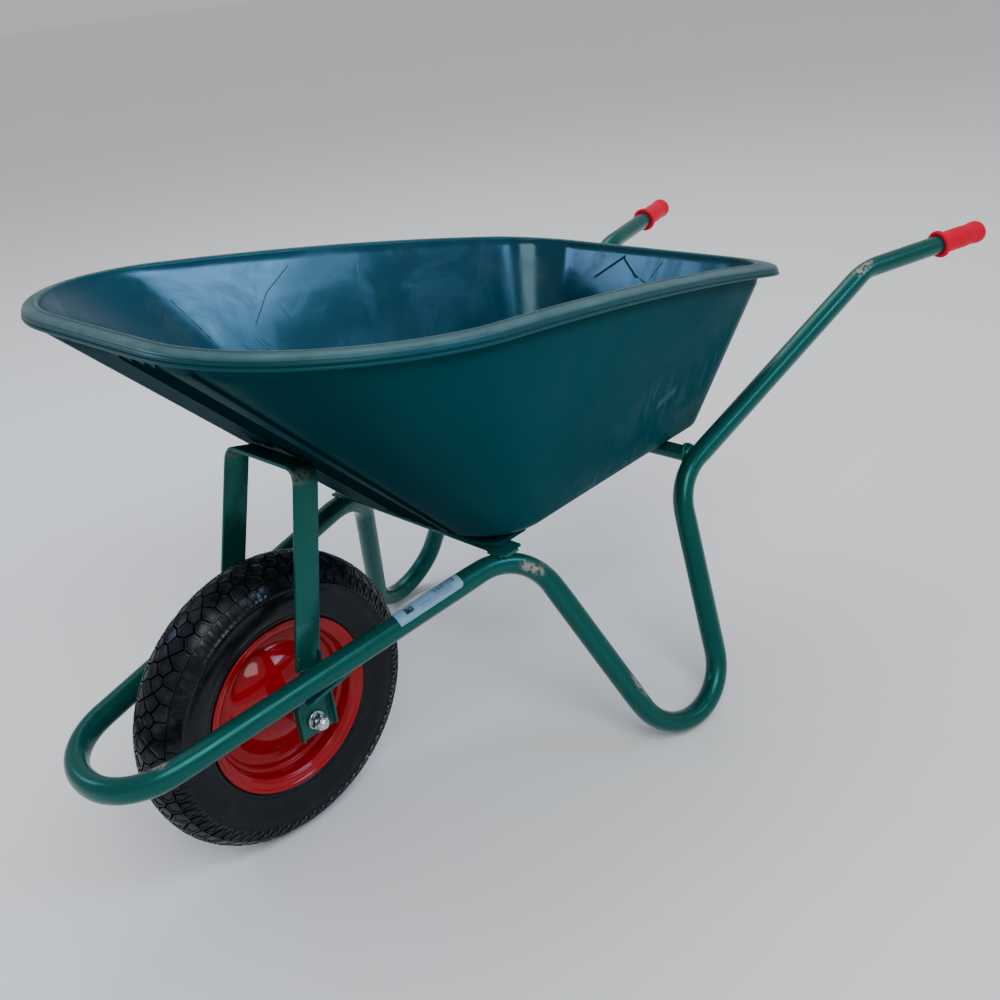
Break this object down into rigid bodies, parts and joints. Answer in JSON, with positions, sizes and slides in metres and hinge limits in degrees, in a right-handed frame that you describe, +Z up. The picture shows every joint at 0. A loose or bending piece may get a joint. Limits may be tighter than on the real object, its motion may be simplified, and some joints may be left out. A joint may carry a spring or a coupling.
{
  "type": "wheelbarrow",
  "caption": "Wheelbarrow with a deep moulded tray on a bent steel tube frame with looped legs, sleeved handles, and a pneumatic wheel on a pressed rim.",
  "frame": {"origin": "on the floor, under the centre of the bounding box", "axes": "+X towards the handles, +Y to the right of the person pushing, +Z up"},
  "size_m": [1.6473, 0.738, 0.7535],
  "materials": {
    "frame_enamel": "gloss dark green enamel on steel",
    "tray_plastic": "semi-gloss moulded polyethylene, dark teal",
    "grip_vinyl": "soft red vinyl",
    "tyre": "black rubber with block tread",
    "tube_rubber": "matt black",
    "valve_rubber": "matt black",
    "rim_enamel": "gloss red enamel on pressed steel",
    "zinc": "bright zinc plate",
    "bearing_steel": "ground steel",
    "label": "printed sticker, no wording"
  },
  "bodies": {
    "frame": {"axle": "zinc", "axle_bracket_left": "frame_enamel", "axle_bracket_right": "frame_enamel", "axle_nut_left": "zinc", "axle_nut_right": "zinc", "axle_spacer_left": "zinc", "axle_spacer_right": "zinc", "axle_washer_left": "zinc", "axle_washer_right": "zinc", "frame_tube": "frame_enamel", "front_cross_member": "frame_enamel", "grip_left": "grip_vinyl", "grip_right": "grip_vinyl", "hoop": "frame_enamel", "rail_label": "label", "rear_cross_tube": "frame_enamel", "tray": "tray_plastic", "tray_bolt_front_left": "zinc", "tray_bolt_front_right": "zinc", "tray_bolt_rear_left": "zinc", "tray_bolt_rear_right": "zinc", "tray_foot_pad": "tray_plastic", "tray_nut_front_left": "zinc", "tray_nut_front_right": "zinc", "tray_nut_rear_left": "zinc", "tray_nut_rear_right": "zinc", "tray_washer_front_left": "zinc", "tray_washer_front_right": "zinc", "tray_washer_rear_left": "zinc", "tray_washer_rear_right": "zinc"},
    "wheel": {"tyre": "tyre", "inner_tube": "tube_rubber", "rim_half_left": "rim_enamel", "rim_half_right": "rim_enamel", "hub_tube": "rim_enamel", "bearing_left": "bearing_steel", "bearing_right": "bearing_steel", "valve_stem": "valve_rubber", "valve_cap": "valve_rubber"}
  },
  "joints": [
    {"name": "wheel_spin", "type": "hinge", "parent": "frame", "child": "wheel", "pos_m": [-0.54273, 0, 0.2], "axis": [0, 1, 0], "continuous": true}
  ]
}
